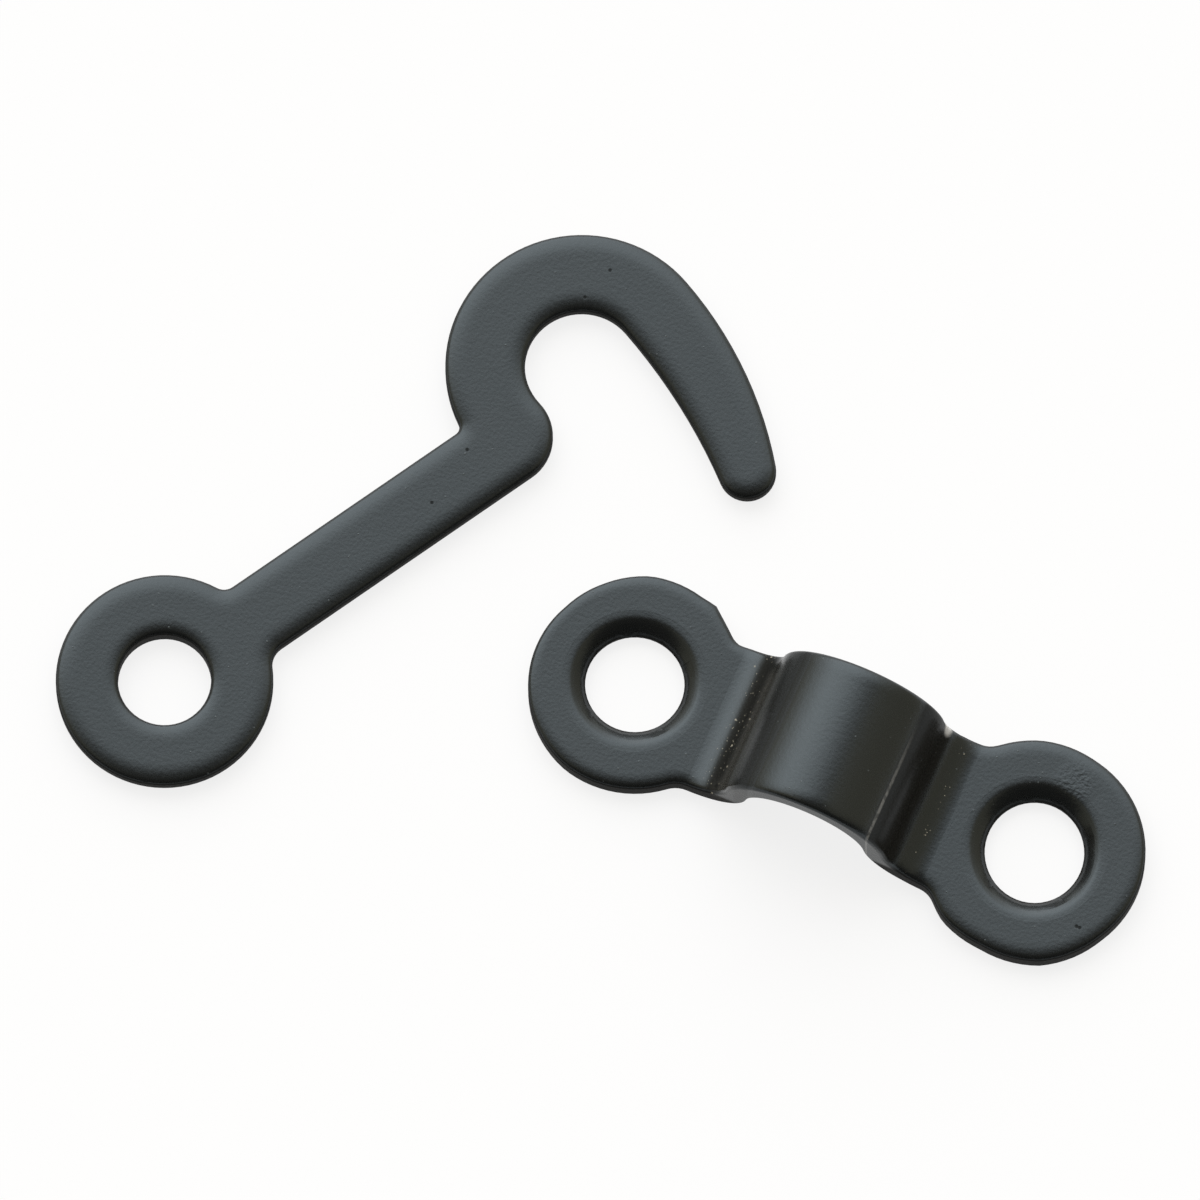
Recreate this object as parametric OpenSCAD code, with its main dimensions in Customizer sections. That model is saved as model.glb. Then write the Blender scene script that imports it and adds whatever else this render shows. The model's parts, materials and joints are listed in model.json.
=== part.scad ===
// Hook and staple latch pressed from black painted sheet steel.
// The staple screws down on its two round feet, and the flat hook swings on one screw
// until its finger passes under the staple's arch.
// The origin is midway between the staple's screw holes, on its mounting face.
// +X runs along the staple, and +Z points away from the mounting face.

/* [Staple] */
// Thickness of the staple's sheet
staple_t = 1.2; // [0.8:0.05:1.6]
// Distance between the staple's two screw holes
hole_spacing = 21; // [19:0.25:30]
// Diameter of the round foot about each screw hole
foot_d = 10.7; // [9:0.05:13]
// Width of the strap between the feet
strap_w = 7.5; // [5:0.25:8.5]
// Radius of the hollow corner where a foot meets the strap
neck_fillet_r = 1.35; // [0.3:0.05:1.6]

/* [Arch] */
// Clear width inside the arch
arch_in_w = 6.2; // [5:0.1:7.5]
// Height of the arch's top above the mounting face
arch_h = 6.6; // [5.5:0.1:8]
// Inside radius of the bend from each foot up into the arch
bend_r = 2; // [1.2:0.05:2.3]

/* [Screw holes] */
// Diameter of the staple's screw holes
screw_hole_d = 4.8; // [3.5:0.1:5.2]
// Diameter of the countersink at the top face
sink_d = 6.4; // [5.6:0.1:7]
// Full angle of the countersink
sink_angle = 90; // [82:1:100]

/* [Hook] */
// Thickness of the hook's sheet
hook_t = 1.2; // [0.8:0.05:2]
// Diameter of the round eye that the hook swings on
eye_d = 10.5; // [9:0.25:13]
// Diameter of the pivot hole through the eye
pivot_hole_d = 4.5; // [3.5:0.1:5.5]
// Width of the straight shank
shank_w = 3.8; // [3:0.1:4.6]
// Hollow corner between the eye and the shank on the crook's side
eye_fillet_upper_r = 0.7; // [0.3:0.05:1.5]
// Hollow corner between the eye and the shank on the finger's side
eye_fillet_lower_r = 1.05; // [0.3:0.05:1.5]

/* [Crook] */
// Distance from the pivot to the crook's centre, along the shank
crook_reach = 25.5; // [22:0.25:34]
// Offset of the crook's centre from the shank's centre line
crook_offset = 1.15; // [0.5:0.05:1.4]
// Radius of the throat inside the crook
throat_r = 2.75; // [2.2:0.05:3.2]
// Width of the band that makes the crook
crook_band = 3.85; // [3.2:0.05:4.5]
// Radius of the rounded shoulder at the end of the shank
shoulder_r = 2.4; // [2.2:0.05:2.8]
// Hollow corner between the crook and the shank
crook_fillet_r = 0.45; // [0.2:0.05:1]

/* [Finger] */
// Direction in which the crook turns into the finger, from the shank's own direction
finger_angle = 4.5; // [0:0.5:12]
// Radius of the finger's inside edge
finger_inner_r = 29.8; // [26:0.1:34]
// Radius of the finger's outside edge
finger_outer_r = 19.9; // [18:0.1:21.5]
// Radius of the finger's tip
tip_r = 1.4; // [1.1:0.05:1.8]

/* [Layout] */
// Place of the hook's pivot along the staple's length
pivot_x = -31.35; // [-60:0.05:-30]
// Place of the hook's pivot across the staple's width
pivot_y = -8.95; // [-20:0.05:-5]
// Turn of the shank from the staple's length, with the hook as it lies at rest
hook_turn = 58.9; // [50:0.1:180]

/* [Hidden] */
$fn = 96;

// Colour of the paint
paint = [0.29, 0.32, 0.34];
// How far a cut is carried past the faces it goes through
cut_over = 1;
// Furthest that the steps of an arc lie from the true curve
flatness = 0.004;
// Points of an outline nearer to each other than this are one
same_point = 0.002;

// The arch is part of a ring that runs tangent into the ring of each bend
arch_r = arch_in_w / 2 + staple_t;
arch_z = arch_h - arch_r;
bend_z = staple_t + bend_r;
spring = asin((bend_z - arch_z) / (arch_r + bend_r));
bend_x = (arch_r + bend_r) * cos(spring);
foot_x = hole_spacing / 2;
sink_depth = (sink_d - screw_hole_d) / 2 / tan(sink_angle / 2);

// Circles of the hook that touch each other
crook = [crook_reach, crook_offset];
crook_r = throat_r + crook_band;
shoulder_turn = asin((crook_offset + shank_w / 2 - shoulder_r) / (throat_r + shoulder_r));
shoulder = crook - (throat_r + shoulder_r) * heading(shoulder_turn);
finger_inner = crook - (finger_inner_r - throat_r) * heading(finger_angle);
finger_outer = crook - (finger_outer_r - crook_r) * heading(finger_angle);
tip = circles_meet(finger_inner, finger_inner_r + tip_r, finger_outer, finger_outer_r - tip_r);

// Unit vector at an angle from +X
function heading(a) = [cos(a), sin(a)];

// Angle from +X at which point b is seen from point a
function bearing(a, b) = atan2(b.y - a.y, b.x - a.x);

// Points along an arc from angle a0 on to angle a1, in steps as fine as flatness asks
function arc(centre, r, a0, a1) =
    let (steps = ceil(abs(a1 - a0) / (2 * acos(1 - flatness / r))))
    [for (i = [0:steps]) centre + r * heading(a0 + (a1 - a0) * i / steps)];

// The points of a closed outline, less each one that falls on the next
function outline(points) =
    let (n = len(points))
    [for (i = [0:n - 1]) if (norm(points[i] - points[(i + 1) % n]) > same_point) points[i]];

// The lower of the two points that lie at distance ra from point a and rb from point b
function circles_meet(a, ra, b, rb) =
    let (
        gap = norm(b - a),
        along = (gap * gap + ra * ra - rb * rb) / (2 * gap),
        aside = sqrt(ra * ra - along * along),
        u = (b - a) / gap
    )
    a + along * u + aside * [u.y, -u.x];

// Centre of the hollow corner between a disc about the origin and a straight edge at y = edge
function hollow_corner(disc_r, edge, r) = [sqrt(pow(disc_r + r, 2) - pow(edge + r, 2)), edge + r];

// Edge of one foot about its screw hole, from one side of the strap round to the other,
// with the strap leaving along -X
function foot_edge() =
    let (
        foot_r = foot_d / 2,
        neck = hollow_corner(foot_r, strap_w / 2, neck_fillet_r),
        turn = bearing([0, 0], neck)
    )
    concat(
        arc(-neck, neck_fillet_r, 90, turn),
        arc([0, 0], foot_r, turn - 180, 180 - turn),
        arc([-neck.x, neck.y], neck_fillet_r, -turn, -90)
    );

// The staple seen from above
module staple_outline() {
    foot = [for (p = foot_edge()) p + [foot_x, 0]];
    polygon(outline(concat(foot, -foot)));
}

// The staple's strip seen from the side, carried past the end of each foot
module strip_profile() {
    run = foot_x + foot_d;
    left = [-bend_x, bend_z];
    right = [bend_x, bend_z];
    top = [0, arch_z];
    underside = concat(
        [[-run, 0]],
        arc(left, bend_z, 270, 360 - spring),
        arc(top, arch_r - staple_t, 180 - spring, spring),
        arc(right, bend_z, 180 + spring, 270),
        [[run, 0]]
    );
    upper_side = concat(
        [[run, staple_t]],
        arc(right, bend_r, 270, 180 + spring),
        arc(top, arch_r, spring, 180 - spring),
        arc(left, bend_r, 360 - spring, 270),
        [[-run, staple_t]]
    );
    polygon(outline(concat(underside, upper_side)));
}

// Screw hole and its countersink, carried past both faces of the foot
module screw_hole() {
    sink_over_r = sink_d / 2 + cut_over * tan(sink_angle / 2);
    rotate_extrude()
        polygon([
            [0, -cut_over],
            [screw_hole_d / 2, -cut_over],
            [screw_hole_d / 2, staple_t - sink_depth],
            [sink_over_r, staple_t + cut_over],
            [0, staple_t + cut_over]
        ]);
}

// The hook seen from above, with its pivot at the origin and its shank along +X
module hook_outline() {
    eye_r = eye_d / 2;
    edge = shank_w / 2;
    upper = hollow_corner(eye_r, edge, eye_fillet_upper_r);
    lower = hollow_corner(eye_r, edge, eye_fillet_lower_r);
    notch = hollow_corner(crook_r, edge - crook_offset, crook_fillet_r);
    upper_turn = bearing([0, 0], upper);
    lower_turn = bearing([0, 0], lower);
    notch_turn = bearing([0, 0], notch);
    inner_turn = bearing(finger_inner, tip);
    outer_turn = bearing(finger_outer, tip);
    eye = concat(
        arc(upper, eye_fillet_upper_r, -90, upper_turn - 180),
        arc([0, 0], eye_r, upper_turn, 360 - lower_turn),
        arc([lower.x, -lower.y], eye_fillet_lower_r, 180 - lower_turn, 90)
    );
    throat = concat(
        arc(shoulder, shoulder_r, -90, shoulder_turn),
        arc(crook, throat_r, 180 + shoulder_turn, finger_angle)
    );
    finger = concat(
        arc(finger_inner, finger_inner_r, finger_angle, inner_turn),
        arc(tip, tip_r, 180 + inner_turn, 360 + outer_turn),
        arc(finger_outer, finger_outer_r, outer_turn, finger_angle)
    );
    crown = concat(
        arc(crook, crook_r, finger_angle, 180 - notch_turn),
        arc(crook + [-notch.x, notch.y], crook_fillet_r, -notch_turn, -90)
    );
    polygon(outline(concat(eye, throat, finger, crown)));
}

module staple() {
    color(paint)
        difference() {
            intersection() {
                translate([0, 0, -cut_over])
                    linear_extrude(height = arch_h + 2 * cut_over)
                        staple_outline();
                rotate([90, 0, 0])
                    linear_extrude(height = foot_d + 2 * cut_over, center = true)
                        strip_profile();
            }
            for (side = [-1, 1])
                translate([side * foot_x, 0, 0])
                    screw_hole();
        }
}

module hook() {
    color(paint)
        translate([pivot_x, pivot_y, 0])
            rotate([0, 0, hook_turn])
                difference() {
                    linear_extrude(height = hook_t)
                        hook_outline();
                    translate([0, 0, -cut_over])
                        cylinder(h = hook_t + 2 * cut_over, d = pivot_hole_d);
                }
}

staple();
hook();
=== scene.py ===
"""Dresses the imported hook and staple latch: rolled sheet edges, black paint, white floor and soft light."""

import json
import math

import bpy
from mathutils import Matrix, Vector


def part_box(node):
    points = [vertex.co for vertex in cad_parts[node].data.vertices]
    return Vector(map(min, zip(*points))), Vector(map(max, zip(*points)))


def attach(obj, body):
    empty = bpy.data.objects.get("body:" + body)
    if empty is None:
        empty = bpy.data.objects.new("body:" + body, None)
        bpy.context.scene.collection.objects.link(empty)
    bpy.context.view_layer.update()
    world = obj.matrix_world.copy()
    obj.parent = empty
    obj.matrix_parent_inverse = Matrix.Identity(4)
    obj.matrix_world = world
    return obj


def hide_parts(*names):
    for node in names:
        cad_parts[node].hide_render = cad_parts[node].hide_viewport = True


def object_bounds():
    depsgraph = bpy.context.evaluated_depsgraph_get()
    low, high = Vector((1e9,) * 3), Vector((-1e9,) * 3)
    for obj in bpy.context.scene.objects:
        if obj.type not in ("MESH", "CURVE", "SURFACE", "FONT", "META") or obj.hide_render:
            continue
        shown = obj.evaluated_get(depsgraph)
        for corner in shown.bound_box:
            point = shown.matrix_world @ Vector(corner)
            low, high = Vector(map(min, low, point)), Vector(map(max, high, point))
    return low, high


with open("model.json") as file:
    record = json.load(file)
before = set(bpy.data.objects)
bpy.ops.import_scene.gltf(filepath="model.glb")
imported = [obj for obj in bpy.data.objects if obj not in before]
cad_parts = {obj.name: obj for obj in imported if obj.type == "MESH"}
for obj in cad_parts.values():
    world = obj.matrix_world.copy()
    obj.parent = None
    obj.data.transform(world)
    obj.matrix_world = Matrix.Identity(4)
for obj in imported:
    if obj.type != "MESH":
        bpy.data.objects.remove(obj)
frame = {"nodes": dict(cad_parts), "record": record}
cad_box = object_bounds()

# Lengths are in metres unless a name ends in _MM; angles are in degrees
MM = 0.001

# The sheet, its bends and its holes, as the CAD has them
MOUNTS = {mount["name"]: mount for mount in frame["record"]["mounts"]}
PIVOT = Vector(MOUNTS["hook_pivot"]["pos_m"]).xy / MM
PIVOT_HOLE_R_MM = MOUNTS["hook_pivot"]["dims"]["r_mm"]
SCREW_X_MM = MOUNTS["staple_screws"]["dims"]["spacing_x_mm"] / 2
LEFT_SCREW = Vector((-SCREW_X_MM, 0))
RIGHT_SCREW = Vector((SCREW_X_MM, 0))
SCREW_HOLE_R_MM = MOUNTS["staple_screws"]["dims"]["hole_r_mm"]
SHEET_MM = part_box("hook")[1].z / MM
ARCH_TOP_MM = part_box("staple")[1].z / MM
FOOT_R_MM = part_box("staple")[1].x / MM - SCREW_X_MM
ARCH_R_MM = 4.3
BEND_R_MM = 2.0
ARCH_Z_MM = ARCH_TOP_MM - ARCH_R_MM
BEND_Z_MM = SHEET_MM + BEND_R_MM
SPRING = math.asin((BEND_Z_MM - ARCH_Z_MM) / (ARCH_R_MM + BEND_R_MM))
BEND_X_MM = (ARCH_R_MM + BEND_R_MM) * math.cos(SPRING)

# How near counts as the same place, as level, as on the face and as one smooth surface
MERGE_MM = 0.002
NEAR_MM = 0.01
ON_FACE_MM = 0.0001
LEVEL_NORMAL = 0.999
FLAT_ANGLE = 0.3
RIM_ANGLE = 25
SMOOTH_ANGLE = 35

# The press rolls the upper rim over, gently at first and sharply at the very edge
HOOK_ROLL_MM = 1.15
STAPLE_ROLL_MM = 0.8
ROLL_DROP = 0.122
LIP_MM = 0.2
ROLL_STEPS = 14

# Holes: the pivot's rim is rolled as well; a countersink dips the face about it, slopes gently and then drops
HOLE_REACH_MM = 4.17
PIVOT_ROLL_MM = 0.92
SINK_ROLL_MM = 0.36
SINK_R_MM = 3.15
SINK_DEEP_MM = 0.6
SINK_SLOPE = 0.577
SINK_DROP_SLOPE = 1.2
SINK_DIP_WIDE_MM = 0.62
SINK_DIP_MM = 0.018
SINK_EDGE_MM = 0.04
RIGHT_HOLE_STRETCH_MM = 0.13

# The lower rim is tumbled round, the flat hook's further than the staple's
HOOK_TUMBLE_MM = 0.45
HOOK_HOLE_TUMBLE_MM = 0.135
STAPLE_TUMBLE_MM = 0.1
STAPLE_HOLE_TUMBLE_MM = 0.35
TUMBLE_STEPS = 6

# Where the bevel reads each edge's share of the width
EDGE_SHARE = "bevel_weight_edge"

# Where the blanking die left the feet out of round: bearing from +X, and how far the edge stands out in mm
LEFT_FOOT_TRIM = (
    (40, 0.0), (44, -0.13), (49.6, -0.12), (54, -0.1), (58.4, -0.06), (62.8, 0.01), (67.3, 0.12),
    (71.7, 0.05), (76, 0.0), (105, 0.0), (130, -0.2), (155, -0.31), (180, -0.26), (210, -0.18), (255, 0.0),
)
RIGHT_FOOT_TRIM = (
    (80, 0.0), (110, 0.13), (132, 0.15), (150, 0.0), (215, 0.0), (240, 0.2), (264, 0.05), (280, 0.12),
    (296, 0.18), (312, 0.1), (330, 0.0),
)

# Pits in the paint, and round flaws by centre, radius and soft edge
PITS_MM = (
    (-22.53, 7.35, SHEET_MM), (-23.03, 4.24, SHEET_MM), (-19.79, 18.36, SHEET_MM),
    (-20.36, 16.64, SHEET_MM), (14.04, -2.74, SHEET_MM), (13.88, -2.74, SHEET_MM),
)
PIT_R_MM = 0.12
PIT_SOFT_MM = 0.08
WORN_CORNER_MM = ((4.2, 3.6, 2.2), 0.6, 0.3)
SCRAPED_MM = ((-4.3, -3.4, 1.5), 0.9, 0.6)
DIMPLED_MM = ((11.0, 3.8, SHEET_MM), 1.3, 0.8)

# Marks straight across the staple, and a painted highlight along its right shoulder, by their place along it
# and half their width
GROOVE_MM = (-2.9, 0.2)
LEFT_SCUFF_MM = (-4.95, 0.7)
RIGHT_SCUFF_MM = (5.45, 0.2)
# Place and half width of the painted highlight along the right shoulder
HIGHLIGHT_LINE_MM = (3.25, 0.08)
DULL_BEND_MM = (-4.85, 0.55)
DULL_SHOULDER_MM = (-3.35, 0.8)

# Heights and places on the arch between which a mark or a painted light sets in or fades out
RAISED_MM = (1.4, 1.9)
WALL_FOOT_MM = (1.8, 2.3)
LEFT_WALL_HEAD_MM = (4.6, 3.9)
LEFT_WALL_END_MM = (3.2, 2.4)
RIGHT_WALL_MM = (3.05, 3.3)
DRAWN_MM = (-2.0, -2.7)
# Where the painted shoulder highlight fades out across the staple
HIGHLIGHT_RUN_MM = (3.0, -2.0)
ABOVE_SHEET_MM = SHEET_MM + 0.02

# Grain of the paint: cells to a millimetre, detail, and a stretch where it has one
PEEL = (6.0, 3.0)
CLOUD = (0.35, 2.0)
BREAKS = (4.0, 2.0)
PATCHES = (1.2, 1.0)
DIMPLES = (5.0, 1.0)
DRAWN_LINES = (2.2, 2.0, (1, 0.04, 1))

# Dots: cells to a millimetre, radius in cells, share of the cells left empty, and seed
SPECK_DOTS = (2.6, 0.14, 0.85, 11.0)
LEFT_COARSE_DOTS = (3.2, 0.24, 0.55, 7.0)
LEFT_FINE_DOTS = (6.0, 0.24, 0.5, 9.0)
RIGHT_DOTS = (5.5, 0.26, 0.3, 5.0)
DOT_CORE = 0.4
SEED_SLANT = 0.37

# Levels of the grain between which it breaks a mark up, and slopes between which a face becomes a side
BROKEN = (0.35, 0.52)
PATCHY = (0.35, 0.5)
CUT_UPWARD = (0.75, 0.4)
SIDE_ENDWAYS = (0.2, 0.4)

# Colours of the paint, of what lies on it, of the steel where it is worn away, and of painted light on the
# arch: a lighter brown on its walls and a highlight along its right shoulder
THIN_PAINT = (0.007, 0.007, 0.006, 1)
THICK_PAINT = (0.011, 0.011, 0.010, 1)
PIT_SHADE = (0.003, 0.003, 0.003, 1)
SPECK = (0.10, 0.11, 0.11, 1)
# Painted light: a lighter brown laid on the arch's walls, most on the lit left wall
PAINTED_WALL_LIGHT = (0.040, 0.039, 0.035, 1)
SCRAPED_STEEL = (0.07, 0.068, 0.06, 1)
SCUFFED_STEEL = (0.42, 0.39, 0.31, 1)
# Painted highlight along the right shoulder of the arch
PAINTED_HIGHLIGHT = (0.2, 0.2, 0.192, 1)
WORN_STEEL = (0.7, 0.7, 0.69, 1)

# How strongly each mark, and each painted light, shows in the colour
# Shares of the painted light on the arch's left and right walls
LEFT_WALL_LIGHT_SHARE = 0.8
RIGHT_WALL_LIGHT_SHARE = 0.2
SCRAPED_SHARE = 0.35
PIT_SHARE = 0.6
SPECK_SHARE = 0.5
# Share of the bare steel marks and of the painted shoulder highlight
BARE_AND_HIGHLIGHT_SHARE = 0.9
FINE_DOT_SHARE = 0.7
# Least share of the painted shoulder highlight where the grain breaks it
HIGHLIGHT_LEAST = 0.4

# How far each mark stands out of the paint or sinks into it
PEEL_HIGH_MM = 0.007
SPECK_HIGH_MM = 0.006
DIMPLE_HIGH_MM = 0.02
DRAWN_HIGH_MM = 0.012
PIT_DEEP_MM = 0.008
GROOVE_DEEP_MM = 0.012

# Gloss of the paint, and the shares of it that rubbed places lose and that the arch's cut edges keep
PAINT_IOR = 1.5
GLOSS_TINT = (0.79, 0.925, 1.0, 1)
GLOSS_LEVEL = 0.62
GLOSS_ROUGHNESS = 0.22
PEEL_ROUGHNESS = 0.1
PIT_ROUGHNESS = 0.2
MATT_LEVEL = 0.05
MATT_ROUGHNESS = 0.6
WALL_LOSS = 0.7
SHOULDER_LOSS = 0.5
BEND_LOSS = 0.75
PIT_LOSS = 0.7
ARCH_EDGE_KEEPS = 0.6

# Floor and light
FLOOR_SIZE = 20.0
FLOOR_GAP_MM = 0.02
FLOOR_COLOUR = (0.97, 0.97, 0.98, 1)
FLOOR_WHITE = 0.82
PANEL_LIGHT = (3.25, 3.25, 3.25, 1)
SIDE_LIGHT = (0.55, 0.49, 0.37, 1)
FRONT_LIGHT = (0.07, 0.07, 0.07, 1)

# Where the sky's parts set in: by how far back, how high and how far to the left a point of it lies
PANEL_BACK = (0.05, 0.42)
PANEL_HEIGHT = (0.0, 0.25)
PANEL_RIGHT = (-0.95, 0.1)
PANEL_LEFT = (0.75, -0.25)
SIDE_ACROSS = (0.04, 0.20)
SIDE_BACK = (-0.5, -0.2)

# Camera, square to a picture 1200 pixels wide
VIEW_AZIMUTH = 23.52
VIEW_ELEVATION = 75.0
VIEW_AIM = Vector((-13.78, 3.325, 0.0)) * MM
VIEW_WIDTH = 57.96 * MM
LENS_MM = 1000.0
SENSOR_MM = 36.0


def heading(azimuth, elevation):
    """Unit vector towards the sky at an azimuth from the picture's upper side, positive to its left."""
    turn = math.radians(VIEW_AZIMUTH + azimuth)
    rise = math.radians(elevation)
    return Vector((-math.sin(turn) * math.cos(rise), math.cos(turn) * math.cos(rise), math.sin(rise)))


# Shader nodes


class Value:
    """A shader socket on which Python's operators add Math nodes."""

    def __init__(self, finish, socket):
        self.finish = finish
        self.socket = socket

    def _math(self, operation, *values):
        inputs = dict(enumerate(values))
        return self.finish.add("ShaderNodeMath", {"operation": operation}, inputs)

    def __add__(self, other):
        return self._math("ADD", self, other)

    def __radd__(self, other):
        return self._math("ADD", other, self)

    def __sub__(self, other):
        return self._math("SUBTRACT", self, other)

    def __rsub__(self, other):
        return self._math("SUBTRACT", other, self)

    def __mul__(self, other):
        return self._math("MULTIPLY", self, other)

    def __rmul__(self, other):
        return self._math("MULTIPLY", other, self)

    def __gt__(self, other):
        return self._math("GREATER_THAN", self, other)

    def __lt__(self, other):
        return self._math("LESS_THAN", self, other)


class Finish:
    """The nodes of one material or of the world."""

    def __init__(self, owner):
        owner.use_nodes = True
        self.owner = owner
        self.tree = owner.node_tree
        self.tree.nodes.clear()

    def add(self, kind, settings=None, inputs=None, output=0):
        """Adds a node, with its settings first and then its sockets' values or links."""
        node = self.tree.nodes.new(kind)
        for name, setting in (settings or {}).items():
            setattr(node, name, setting)
        for name, value in (inputs or {}).items():
            if isinstance(value, Value):
                self.tree.links.new(value.socket, node.inputs[name])
            else:
                node.inputs[name].default_value = value
        return Value(self, node.outputs[output]) if node.outputs else node

    def part(self, vector, axis):
        """One of a vector's three numbers."""
        return self.add("ShaderNodeSeparateXYZ", None, {"Vector": vector}, axis)

    def ramp(self, value, low, high, easing="LINEAR"):
        """Runs from 0 to 1 as the value runs from low to high."""
        inputs = {"Value": value, "From Min": low, "From Max": high}
        return self.add("ShaderNodeMapRange", {"interpolation_type": easing}, inputs)

    def smooth_step(self, value, low, high):
        """A ramp that eases in and out."""
        return self.ramp(value, low, high, "SMOOTHSTEP")

    def blend(self, factor, one, other):
        """Mixes two colours."""
        inputs = {0: factor, 6: one, 7: other}
        return self.add("ShaderNodeMix", {"data_type": "RGBA"}, inputs, 2)


class Skin(Finish):
    """The nodes of a material with marks that keep their places on the latch, in millimetres."""

    def __init__(self, owner):
        super().__init__(owner)
        place = self.add("ShaderNodeTexCoord", output="Object")
        inputs = {0: place, "Scale": 1 / MM}
        self.place_mm = self.add("ShaderNodeVectorMath", {"operation": "SCALE"}, inputs)
        self.along_mm = self.part(self.place_mm, "X")
        self.across_mm = self.part(self.place_mm, "Y")
        self.height_mm = self.part(self.place_mm, "Z")

    def noise(self, per_mm, detail, stretch=(1, 1, 1)):
        """Cloudy noise, drawn out along an axis where its stretch is small."""
        inputs = {0: self.place_mm, 1: stretch}
        drawn_out = self.add("ShaderNodeVectorMath", {"operation": "MULTIPLY"}, inputs)
        return self.add("ShaderNodeTexNoise", None, {"Vector": drawn_out, "Scale": per_mm, "Detail": detail})

    def dots(self, per_mm, radius, rarity, seed):
        """Round dots in a few of a lattice's cells."""
        shift = (seed, SEED_SLANT * seed, 0.0)
        moved = self.add("ShaderNodeVectorMath", {"operation": "ADD"}, {0: self.place_mm, 1: shift})
        inputs = {"Vector": moved, "Scale": per_mm}
        gap = self.add("ShaderNodeTexVoronoi", None, inputs, "Distance")
        lot = self.add("ShaderNodeTexVoronoi", None, inputs, "Color")
        chance = self.add("ShaderNodeSeparateColor", None, {"Color": lot}, "Red")
        return self.smooth_step(gap, radius, DOT_CORE * radius) * (chance > rarity)

    def line(self, middle, half):
        """A line straight across the staple, half its width either side of a place along it."""
        away = self.along_mm - middle
        return self.smooth_step(away * away, half * half, 0.0)

    def spot(self, centre, radius, soft):
        """A round spot about a point, fading out over its soft edge."""
        inputs = {0: self.place_mm, 1: centre}
        gap = self.add("ShaderNodeVectorMath", {"operation": "DISTANCE"}, inputs, "Value")
        return self.smooth_step(gap, radius, radius - soft)


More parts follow.
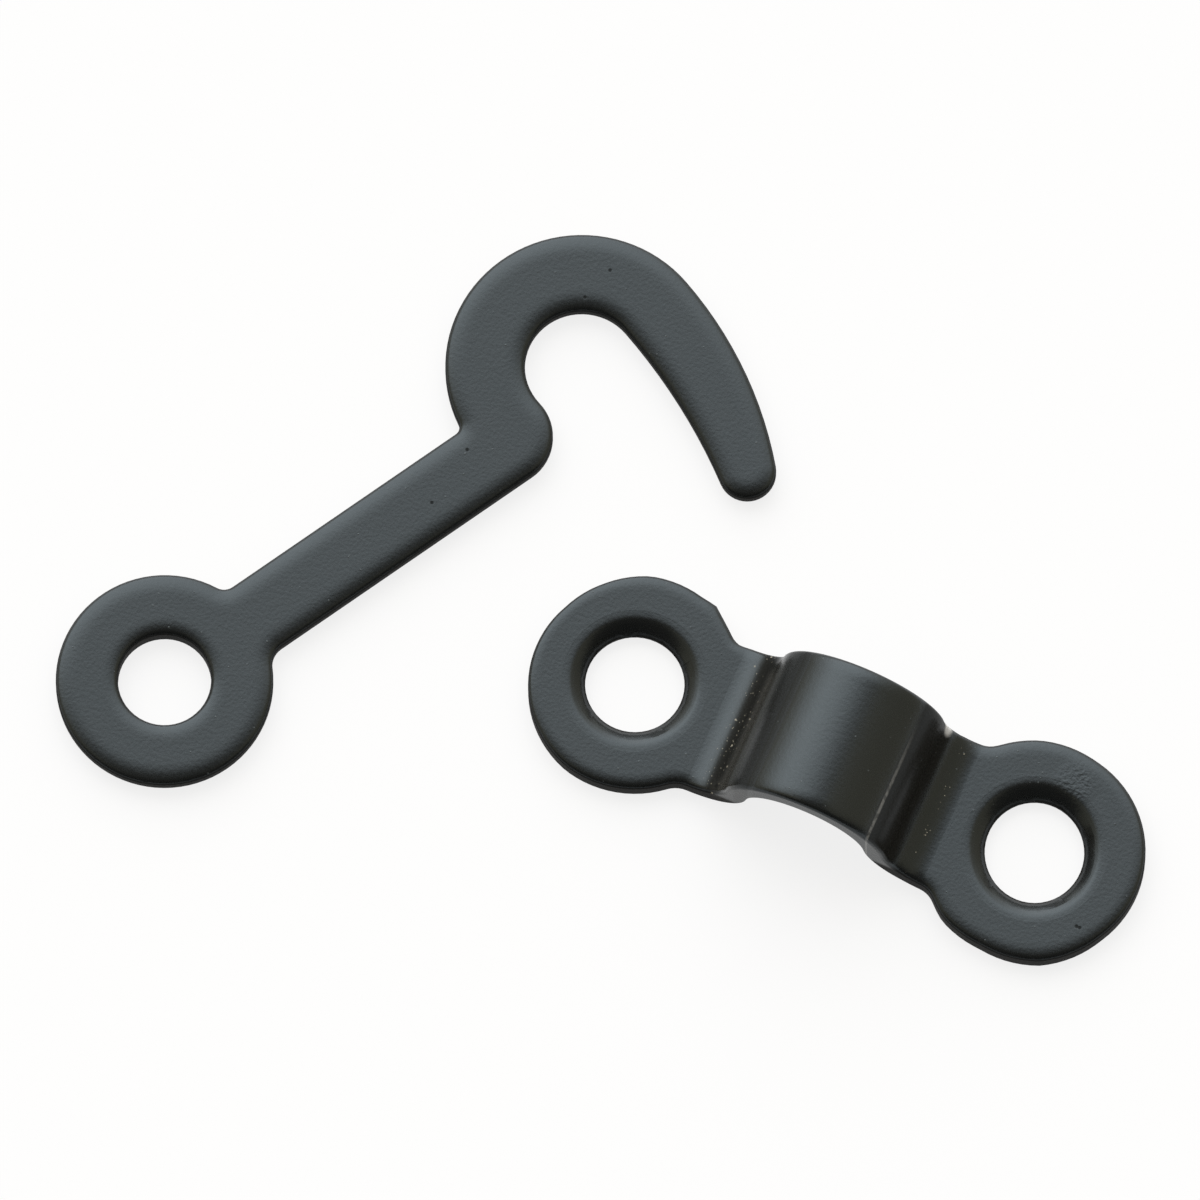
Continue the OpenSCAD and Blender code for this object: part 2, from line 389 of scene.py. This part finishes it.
def black_paint():
    """Thin black paint over pressed steel: orange peel, pits, specks, the marks of the bending die, painted
    light on the arch's walls and a painted highlight along its right shoulder.
    """
    skin = Skin(bpy.data.materials.new("black_paint"))
    peel = skin.noise(*PEEL)
    cloud = skin.noise(*CLOUD)
    broken = skin.smooth_step(skin.noise(*BREAKS), *BROKEN)
    pits = sum(skin.spot(centre, PIT_R_MM, PIT_SOFT_MM) for centre in PITS_MM)
    specks = skin.dots(*SPECK_DOTS)
    dimples = skin.noise(*DIMPLES) * skin.spot(*DIMPLED_MM)

    # The die drew the arch's left side and scuffed the bends; painted light lightens the arch's walls, and a
    # painted highlight runs along the right shoulder
    raised = skin.smooth_step(skin.height_mm, *RAISED_MM)
    drawn = skin.noise(*DRAWN_LINES) * raised * skin.smooth_step(skin.along_mm, *DRAWN_MM)
    groove = skin.line(*GROOVE_MM) * raised
    wall = skin.smooth_step(skin.height_mm, *WALL_FOOT_MM)
    left_head = skin.smooth_step(skin.height_mm, *LEFT_WALL_HEAD_MM)
    left_end = skin.smooth_step(skin.across_mm, *LEFT_WALL_END_MM)
    left_wall = wall * left_head * left_end * (skin.along_mm < 0)
    right_wall = wall * skin.smooth_step(skin.along_mm, *RIGHT_WALL_MM)
    left_dots = skin.dots(*LEFT_COARSE_DOTS) + FINE_DOT_SHARE * skin.dots(*LEFT_FINE_DOTS)
    right_dots = skin.dots(*RIGHT_DOTS)
    here_and_there = skin.smooth_step(skin.noise(*PATCHES), *PATCHY)
    scuff = (left_dots * skin.line(*LEFT_SCUFF_MM) + right_dots * skin.line(*RIGHT_SCUFF_MM)) * here_and_there
    # A painted highlight along the right shoulder, broken here and there and fading out towards the far edge
    highlight_run = skin.smooth_step(skin.across_mm, *HIGHLIGHT_RUN_MM)
    highlight_there = HIGHLIGHT_LEAST + (1 - HIGHLIGHT_LEAST) * broken
    shoulder_highlight = skin.line(*HIGHLIGHT_LINE_MM) * highlight_there * highlight_run
    worn = skin.spot(*WORN_CORNER_MM)
    scraped = skin.spot(*SCRAPED_MM) * broken

    painted = skin.blend(cloud, THIN_PAINT, THICK_PAINT)
    # Painted light: the arch's walls lightened brownish, the left wall more than the right
    wall_lit = skin.blend(LEFT_WALL_LIGHT_SHARE * left_wall + RIGHT_WALL_LIGHT_SHARE * right_wall, painted, PAINTED_WALL_LIGHT)
    scratched = skin.blend(SCRAPED_SHARE * scraped, wall_lit, SCRAPED_STEEL)
    pitted = skin.blend(PIT_SHARE * pits, scratched, PIT_SHADE)
    speckled = skin.blend(SPECK_SHARE * specks, pitted, SPECK)
    scuffed = skin.blend(BARE_AND_HIGHLIGHT_SHARE * scuff, speckled, SCUFFED_STEEL)
    # Painted highlight along the right shoulder
    highlighted = skin.blend(BARE_AND_HIGHLIGHT_SHARE * shoulder_highlight, scuffed, PAINTED_HIGHLIGHT)
    colour = skin.blend(BARE_AND_HIGHLIGHT_SHARE * worn, highlighted, WORN_STEEL)

    roughness = GLOSS_ROUGHNESS + PEEL_ROUGHNESS * peel + PIT_ROUGHNESS * pits
    grain_mm = PEEL_HIGH_MM * peel + SPECK_HIGH_MM * specks + DIMPLE_HIGH_MM * dimples
    bumps_mm = grain_mm + DRAWN_HIGH_MM * drawn - PIT_DEEP_MM * pits - GROOVE_DEEP_MM * groove
    dents = skin.add("ShaderNodeBump", None, {"Strength": 1.0, "Distance": MM, "Height": bumps_mm})

    # Cut edges are bare of gloss, and so are the pits and the sides of the arch that the die rubbed
    facing = skin.add("ShaderNodeTexCoord", output="Normal")
    upward = skin.part(facing, "Z")
    endways = skin.part(facing, "X")
    arch_side = skin.smooth_step(endways * endways, *SIDE_ENDWAYS) * (skin.height_mm > ABOVE_SHEET_MM)
    cut = skin.smooth_step(upward, *CUT_UPWARD) * (1 - ARCH_EDGE_KEEPS * raised) * (1 - arch_side)
    dull_wall = WALL_LOSS * right_wall * arch_side
    dull_shoulder = SHOULDER_LOSS * skin.line(*DULL_SHOULDER_MM) * raised
    dull_bend = BEND_LOSS * skin.line(*DULL_BEND_MM)
    dulled = dull_wall + dull_shoulder + dull_bend + PIT_LOSS * pits
    dullness = skin.add("ShaderNodeMath", {"operation": "MAXIMUM"}, {0: cut, 1: dulled})

    layer = {"Base Color": colour, "Normal": dents, "IOR": PAINT_IOR}
    gloss = {"Roughness": roughness, "Specular IOR Level": GLOSS_LEVEL, "Specular Tint": GLOSS_TINT}
    matt = {"Roughness": MATT_ROUGHNESS, "Specular IOR Level": MATT_LEVEL}
    coat = skin.add("ShaderNodeBsdfPrincipled", None, {**layer, **gloss})
    dull = skin.add("ShaderNodeBsdfPrincipled", None, {**layer, **matt})
    surface = skin.add("ShaderNodeMixShader", None, {0: dullness, 1: coat, 2: dull})
    skin.add("ShaderNodeOutputMaterial", None, {"Surface": surface})
    return skin.owner


def white_floor():
    """A white ground that still shows the pieces' shadow."""
    finish = Finish(bpy.data.materials.new("white_floor"))
    rays = ("Is Camera Ray", "Is Glossy Ray", "Is Transmission Ray")
    seen = sum(finish.add("ShaderNodeLightPath", output=ray) for ray in rays)
    chalk = finish.add("ShaderNodeBsdfDiffuse", None, {"Color": FLOOR_COLOUR})
    white = finish.add("ShaderNodeEmission", None, {"Color": (1, 1, 1, 1), "Strength": 1.0})
    ground = finish.add("ShaderNodeMixShader", None, {0: FLOOR_WHITE * seen, 1: chalk, 2: white})
    finish.add("ShaderNodeOutputMaterial", None, {"Surface": ground})
    return finish.owner


def soft_room():
    """A wide soft panel fills the sky behind the pieces, the room's sides are warm, and its front is dark."""
    room = Finish(bpy.data.worlds.new("room"))
    sky = room.add("ShaderNodeTexCoord", output="Generated")

    def lean(direction):
        """How far a point of the sky lies along a direction."""
        inputs = {0: sky, 1: direction}
        return room.add("ShaderNodeVectorMath", {"operation": "DOT_PRODUCT"}, inputs, "Value")

    back = lean(heading(0, 0))
    across = lean(heading(90, 0))
    height = lean(heading(0, 90))
    behind = room.ramp(back, *PANEL_BACK)
    above = room.smooth_step(height, *PANEL_HEIGHT)
    within = room.smooth_step(across, *PANEL_RIGHT) * room.smooth_step(across - height, *PANEL_LEFT)
    aside = room.smooth_step(across * across, *SIDE_ACROSS) * room.smooth_step(back, *SIDE_BACK)
    walls = room.blend(aside, FRONT_LIGHT, SIDE_LIGHT)
    light = room.blend(behind * above * within, walls, PANEL_LIGHT)
    glow = room.add("ShaderNodeBackground", None, {"Color": light, "Strength": 1.0})
    room.add("ShaderNodeOutputWorld", None, {"Surface": glow})
    return room.owner


# Pressed pieces


def copy_of(node, name):
    """A copy of a CAD node's mesh with its loose triangles joined, in millimetres for the tools."""
    piece = bpy.data.objects.new(name, frame["nodes"][node].data.copy())
    bpy.context.scene.collection.objects.link(piece)
    piece.data.transform(Matrix.Scale(1 / MM, 4))
    bpy.ops.object.select_all(action="DESELECT")
    piece.select_set(True)
    bpy.context.view_layer.objects.active = piece
    bpy.ops.object.mode_set(mode="EDIT")
    bpy.ops.mesh.select_all(action="SELECT")
    bpy.ops.mesh.remove_doubles(threshold=MERGE_MM)
    bpy.ops.mesh.dissolve_limited(angle_limit=math.radians(FLAT_ANGLE))
    bpy.ops.object.mode_set(mode="OBJECT")
    return piece


def select_rim(piece, side):
    """Selects the edges round the upper face (side 1) or the lower one (side -1), arch included."""
    bpy.ops.object.mode_set(mode="EDIT")
    bpy.ops.mesh.select_mode(type="FACE")
    bpy.ops.mesh.select_all(action="DESELECT")
    bpy.ops.object.mode_set(mode="OBJECT")
    level = SHEET_MM if side > 0 else 0.0
    facing = [face for face in piece.data.polygons if face.normal.z * side > LEVEL_NORMAL]
    flats = [face for face in facing if abs(face.center.z - level) < NEAR_MM]
    max(flats, key=lambda face: face.area).select = True
    bpy.ops.object.mode_set(mode="EDIT")
    bpy.ops.mesh.faces_select_linked_flat(sharpness=math.radians(RIM_ANGLE))
    bpy.ops.mesh.region_to_loop()
    bpy.ops.object.mode_set(mode="OBJECT")


def under_hook(point):
    """How deep a point of the hook lies under its upper face, and the way down."""
    return SHEET_MM - point.z, Vector((0, 0, -1))


def under_staple(point):
    """How deep a point of the staple lies under its upper face, and the way down there."""
    side = math.copysign(1, point.x)
    across = abs(point.x)
    from_bend = Vector((across - BEND_X_MM, point.z - BEND_Z_MM))
    from_arch = Vector((across, point.z - ARCH_Z_MM))
    if across >= BEND_X_MM:
        return SHEET_MM - point.z, Vector((0, 0, -1))
    if math.atan2(from_arch.y, from_arch.x) > SPRING:
        return ARCH_R_MM - from_arch.length, Vector((-side * from_arch.x, 0, -from_arch.y)).normalized()
    return from_bend.length - BEND_R_MM, Vector((side * from_bend.x, 0, from_bend.y)).normalized()


def from_hole(point, holes):
    """Distance of a point from the nearest hole's axis."""
    return min((point.xy - axis).length for axis in holes)


def round_rim(piece, side, wide, hole_wide, steps, holes):
    """Rounds one rim of the outline and of the holes, each to its own width."""
    select_rim(piece, side)
    mesh = piece.data
    share = mesh.attributes.get(EDGE_SHARE) or mesh.attributes.new(EDGE_SHARE, "FLOAT", "EDGE")
    widest = max(wide, hole_wide)
    for edge in mesh.edges:
        middle = (mesh.vertices[edge.vertices[0]].co + mesh.vertices[edge.vertices[1]].co) / 2
        width = hole_wide if from_hole(middle, holes) < HOLE_REACH_MM else wide
        share.data[edge.index].value = width / widest if edge.select else 0.0
    rounding = piece.modifiers.new("rounding", "BEVEL")
    rounding.limit_method = "WEIGHT"
    rounding.offset_type = "OFFSET"
    rounding.width = widest
    rounding.segments = steps
    rounding.loop_slide = False
    rounding.use_clamp_overlap = False
    bpy.ops.object.modifier_apply(modifier=rounding.name)


def rolled_depth(run, wide):
    """How deep a rolled rim lies under the face, a given run out from where it starts."""
    into_lip = max(0.0, run - wide + LIP_MM)
    lip = LIP_MM - math.sqrt(max(0.0, LIP_MM ** 2 - into_lip ** 2))
    return ROLL_DROP * wide * (run / wide) ** 3 + lip


def pivot_depth(from_axis):
    """Depth of the rolled rim of the pivot hole, by distance from its axis."""
    run = PIVOT_ROLL_MM + PIVOT_HOLE_R_MM - from_axis
    return rolled_depth(min(max(run, 0.0), PIVOT_ROLL_MM), PIVOT_ROLL_MM)


def blend_depths(one, other):
    """The greater of two depths, with the corner between them eased."""
    return (one + other + math.hypot(one - other, SINK_EDGE_MM)) / 2


def sink_depth(from_axis):
    """Depth of the dip, the gentle slope and the drop into the hole, by distance from the screw's axis."""
    dip = SINK_DIP_MM * max(0.0, (SINK_R_MM + SINK_DIP_WIDE_MM - from_axis) / SINK_DIP_WIDE_MM) ** 3
    slope = SINK_SLOPE * (SINK_R_MM - from_axis)
    drop = SINK_DEEP_MM - SINK_DROP_SLOPE * (from_axis - SCREW_HOLE_R_MM)
    return blend_depths(blend_depths(dip, slope), drop)


def roll_edges(piece, holes, under_face, wide, hole_wide, hole_depth):
    """Rolls the upper rim over as a press does, and shapes the rims of the holes."""
    round_rim(piece, 1, wide, hole_wide, ROLL_STEPS, holes)
    for vertex in piece.data.vertices:
        deep, down = under_face(vertex.co)
        from_axis = from_hole(vertex.co, holes)
        if from_axis < HOLE_REACH_MM:
            if ON_FACE_MM < deep < SHEET_MM - NEAR_MM:
                vertex.co += down * (hole_depth(from_axis) - deep)
        elif ON_FACE_MM < deep < wide + NEAR_MM:
            run = math.sqrt(max(0.0, 2 * wide * deep - deep ** 2))
            vertex.co += down * (rolled_depth(min(run, wide), wide) - deep)


def stands_out(trim, bearing):
    """How far a trimmed edge stands out at a bearing."""
    for (start, one), (end, other) in zip(trim, trim[1:]):
        if start <= bearing < end:
            return one + (other - one) * (bearing - start) / (end - start)
    return 0.0


def trim_foot(piece, axis, trim):
    """Moves a foot's round edge in or out along its bearings, and the rolled rim with it in proportion."""
    for vertex in piece.data.vertices:
        arm = vertex.co.xy - axis
        if arm.length > HOLE_REACH_MM and vertex.co.z < SHEET_MM + NEAR_MM:
            bearing = math.degrees(math.atan2(arm.y, arm.x)) % 360
            share = min(1.0, (arm.length - HOLE_REACH_MM) / (FOOT_R_MM - HOLE_REACH_MM))
            vertex.co.xy += arm.normalized() * stands_out(trim, bearing) * share


def stretch_hole(piece, axis, along, by):
    """Draws a hole and its countersink out of round along one direction, less and less away from the hole."""
    for vertex in piece.data.vertices:
        arm = vertex.co.xy - axis
        if 0 < arm.length < HOLE_REACH_MM:
            share = min(1.0, (HOLE_REACH_MM - arm.length) / (HOLE_REACH_MM - SINK_R_MM))
            vertex.co.xy += along * (by * share * along.dot(arm.normalized()))


def set_in_frame(piece, node, body, paint):
    """Shades the finished piece, brings it to metres and puts it in its node's place."""
    bpy.ops.object.shade_smooth_by_angle(angle=math.radians(SMOOTH_ANGLE))
    even = piece.modifiers.new("even_shading", "WEIGHTED_NORMAL")
    even.keep_sharp = True
    bpy.ops.object.modifier_apply(modifier=even.name)
    piece.data.transform(Matrix.Scale(MM, 4))
    piece.data.materials.clear()
    piece.data.materials.append(paint)
    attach(piece, body)
    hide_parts(node)


def pressed_hook(paint):
    """The flat hook, rolled above and tumbled below."""
    holes = [PIVOT]
    hook = copy_of("hook", "painted_hook")
    roll_edges(hook, holes, under_hook, HOOK_ROLL_MM, PIVOT_ROLL_MM, pivot_depth)
    round_rim(hook, -1, HOOK_TUMBLE_MM, HOOK_HOLE_TUMBLE_MM, TUMBLE_STEPS, holes)
    set_in_frame(hook, "hook", "hook", paint)


def pressed_staple(paint):
    """The bent staple, rolled above and tumbled below, with its countersinks and its feet out of round."""
    holes = [LEFT_SCREW, RIGHT_SCREW]
    staple = copy_of("staple", "painted_staple")
    roll_edges(staple, holes, under_staple, STAPLE_ROLL_MM, SINK_ROLL_MM, sink_depth)
    round_rim(staple, -1, STAPLE_TUMBLE_MM, STAPLE_HOLE_TUMBLE_MM, TUMBLE_STEPS, holes)
    trim_foot(staple, LEFT_SCREW, LEFT_FOOT_TRIM)
    trim_foot(staple, RIGHT_SCREW, RIGHT_FOOT_TRIM)
    stretch_hole(staple, RIGHT_SCREW, heading(0, 0).xy, RIGHT_HOLE_STRETCH_MM)
    set_in_frame(staple, "staple", "staple", paint)


# Floor and camera


def lay_floor():
    """A wide white floor just under the pieces."""
    bpy.ops.object.select_all(action="DESELECT")
    bpy.ops.mesh.primitive_plane_add(size=FLOOR_SIZE, location=(0, 0, cad_box[0].z - FLOOR_GAP_MM * MM))
    floor = bpy.context.active_object
    floor.name = "floor"
    floor.data.materials.append(white_floor())


def set_camera():
    """A long lens that looks down on the pieces from the photograph's side."""
    lens = bpy.data.cameras.new("camera")
    lens.lens = LENS_MM
    lens.sensor_width = SENSOR_MM
    camera = bpy.data.objects.new("camera", lens)
    bpy.context.scene.collection.objects.link(camera)
    toward_camera = heading(180, VIEW_ELEVATION)
    camera.location = VIEW_AIM + toward_camera * (VIEW_WIDTH * LENS_MM / SENSOR_MM)
    camera.rotation_mode = "QUATERNION"
    camera.rotation_quaternion = (-toward_camera).to_track_quat("-Z", "Y")
    bpy.context.scene.camera = camera


paint = black_paint()
pressed_hook(paint)
pressed_staple(paint)
lay_floor()
set_camera()
bpy.context.scene.world = soft_room()
bpy.context.scene.view_settings.view_transform = "Standard"
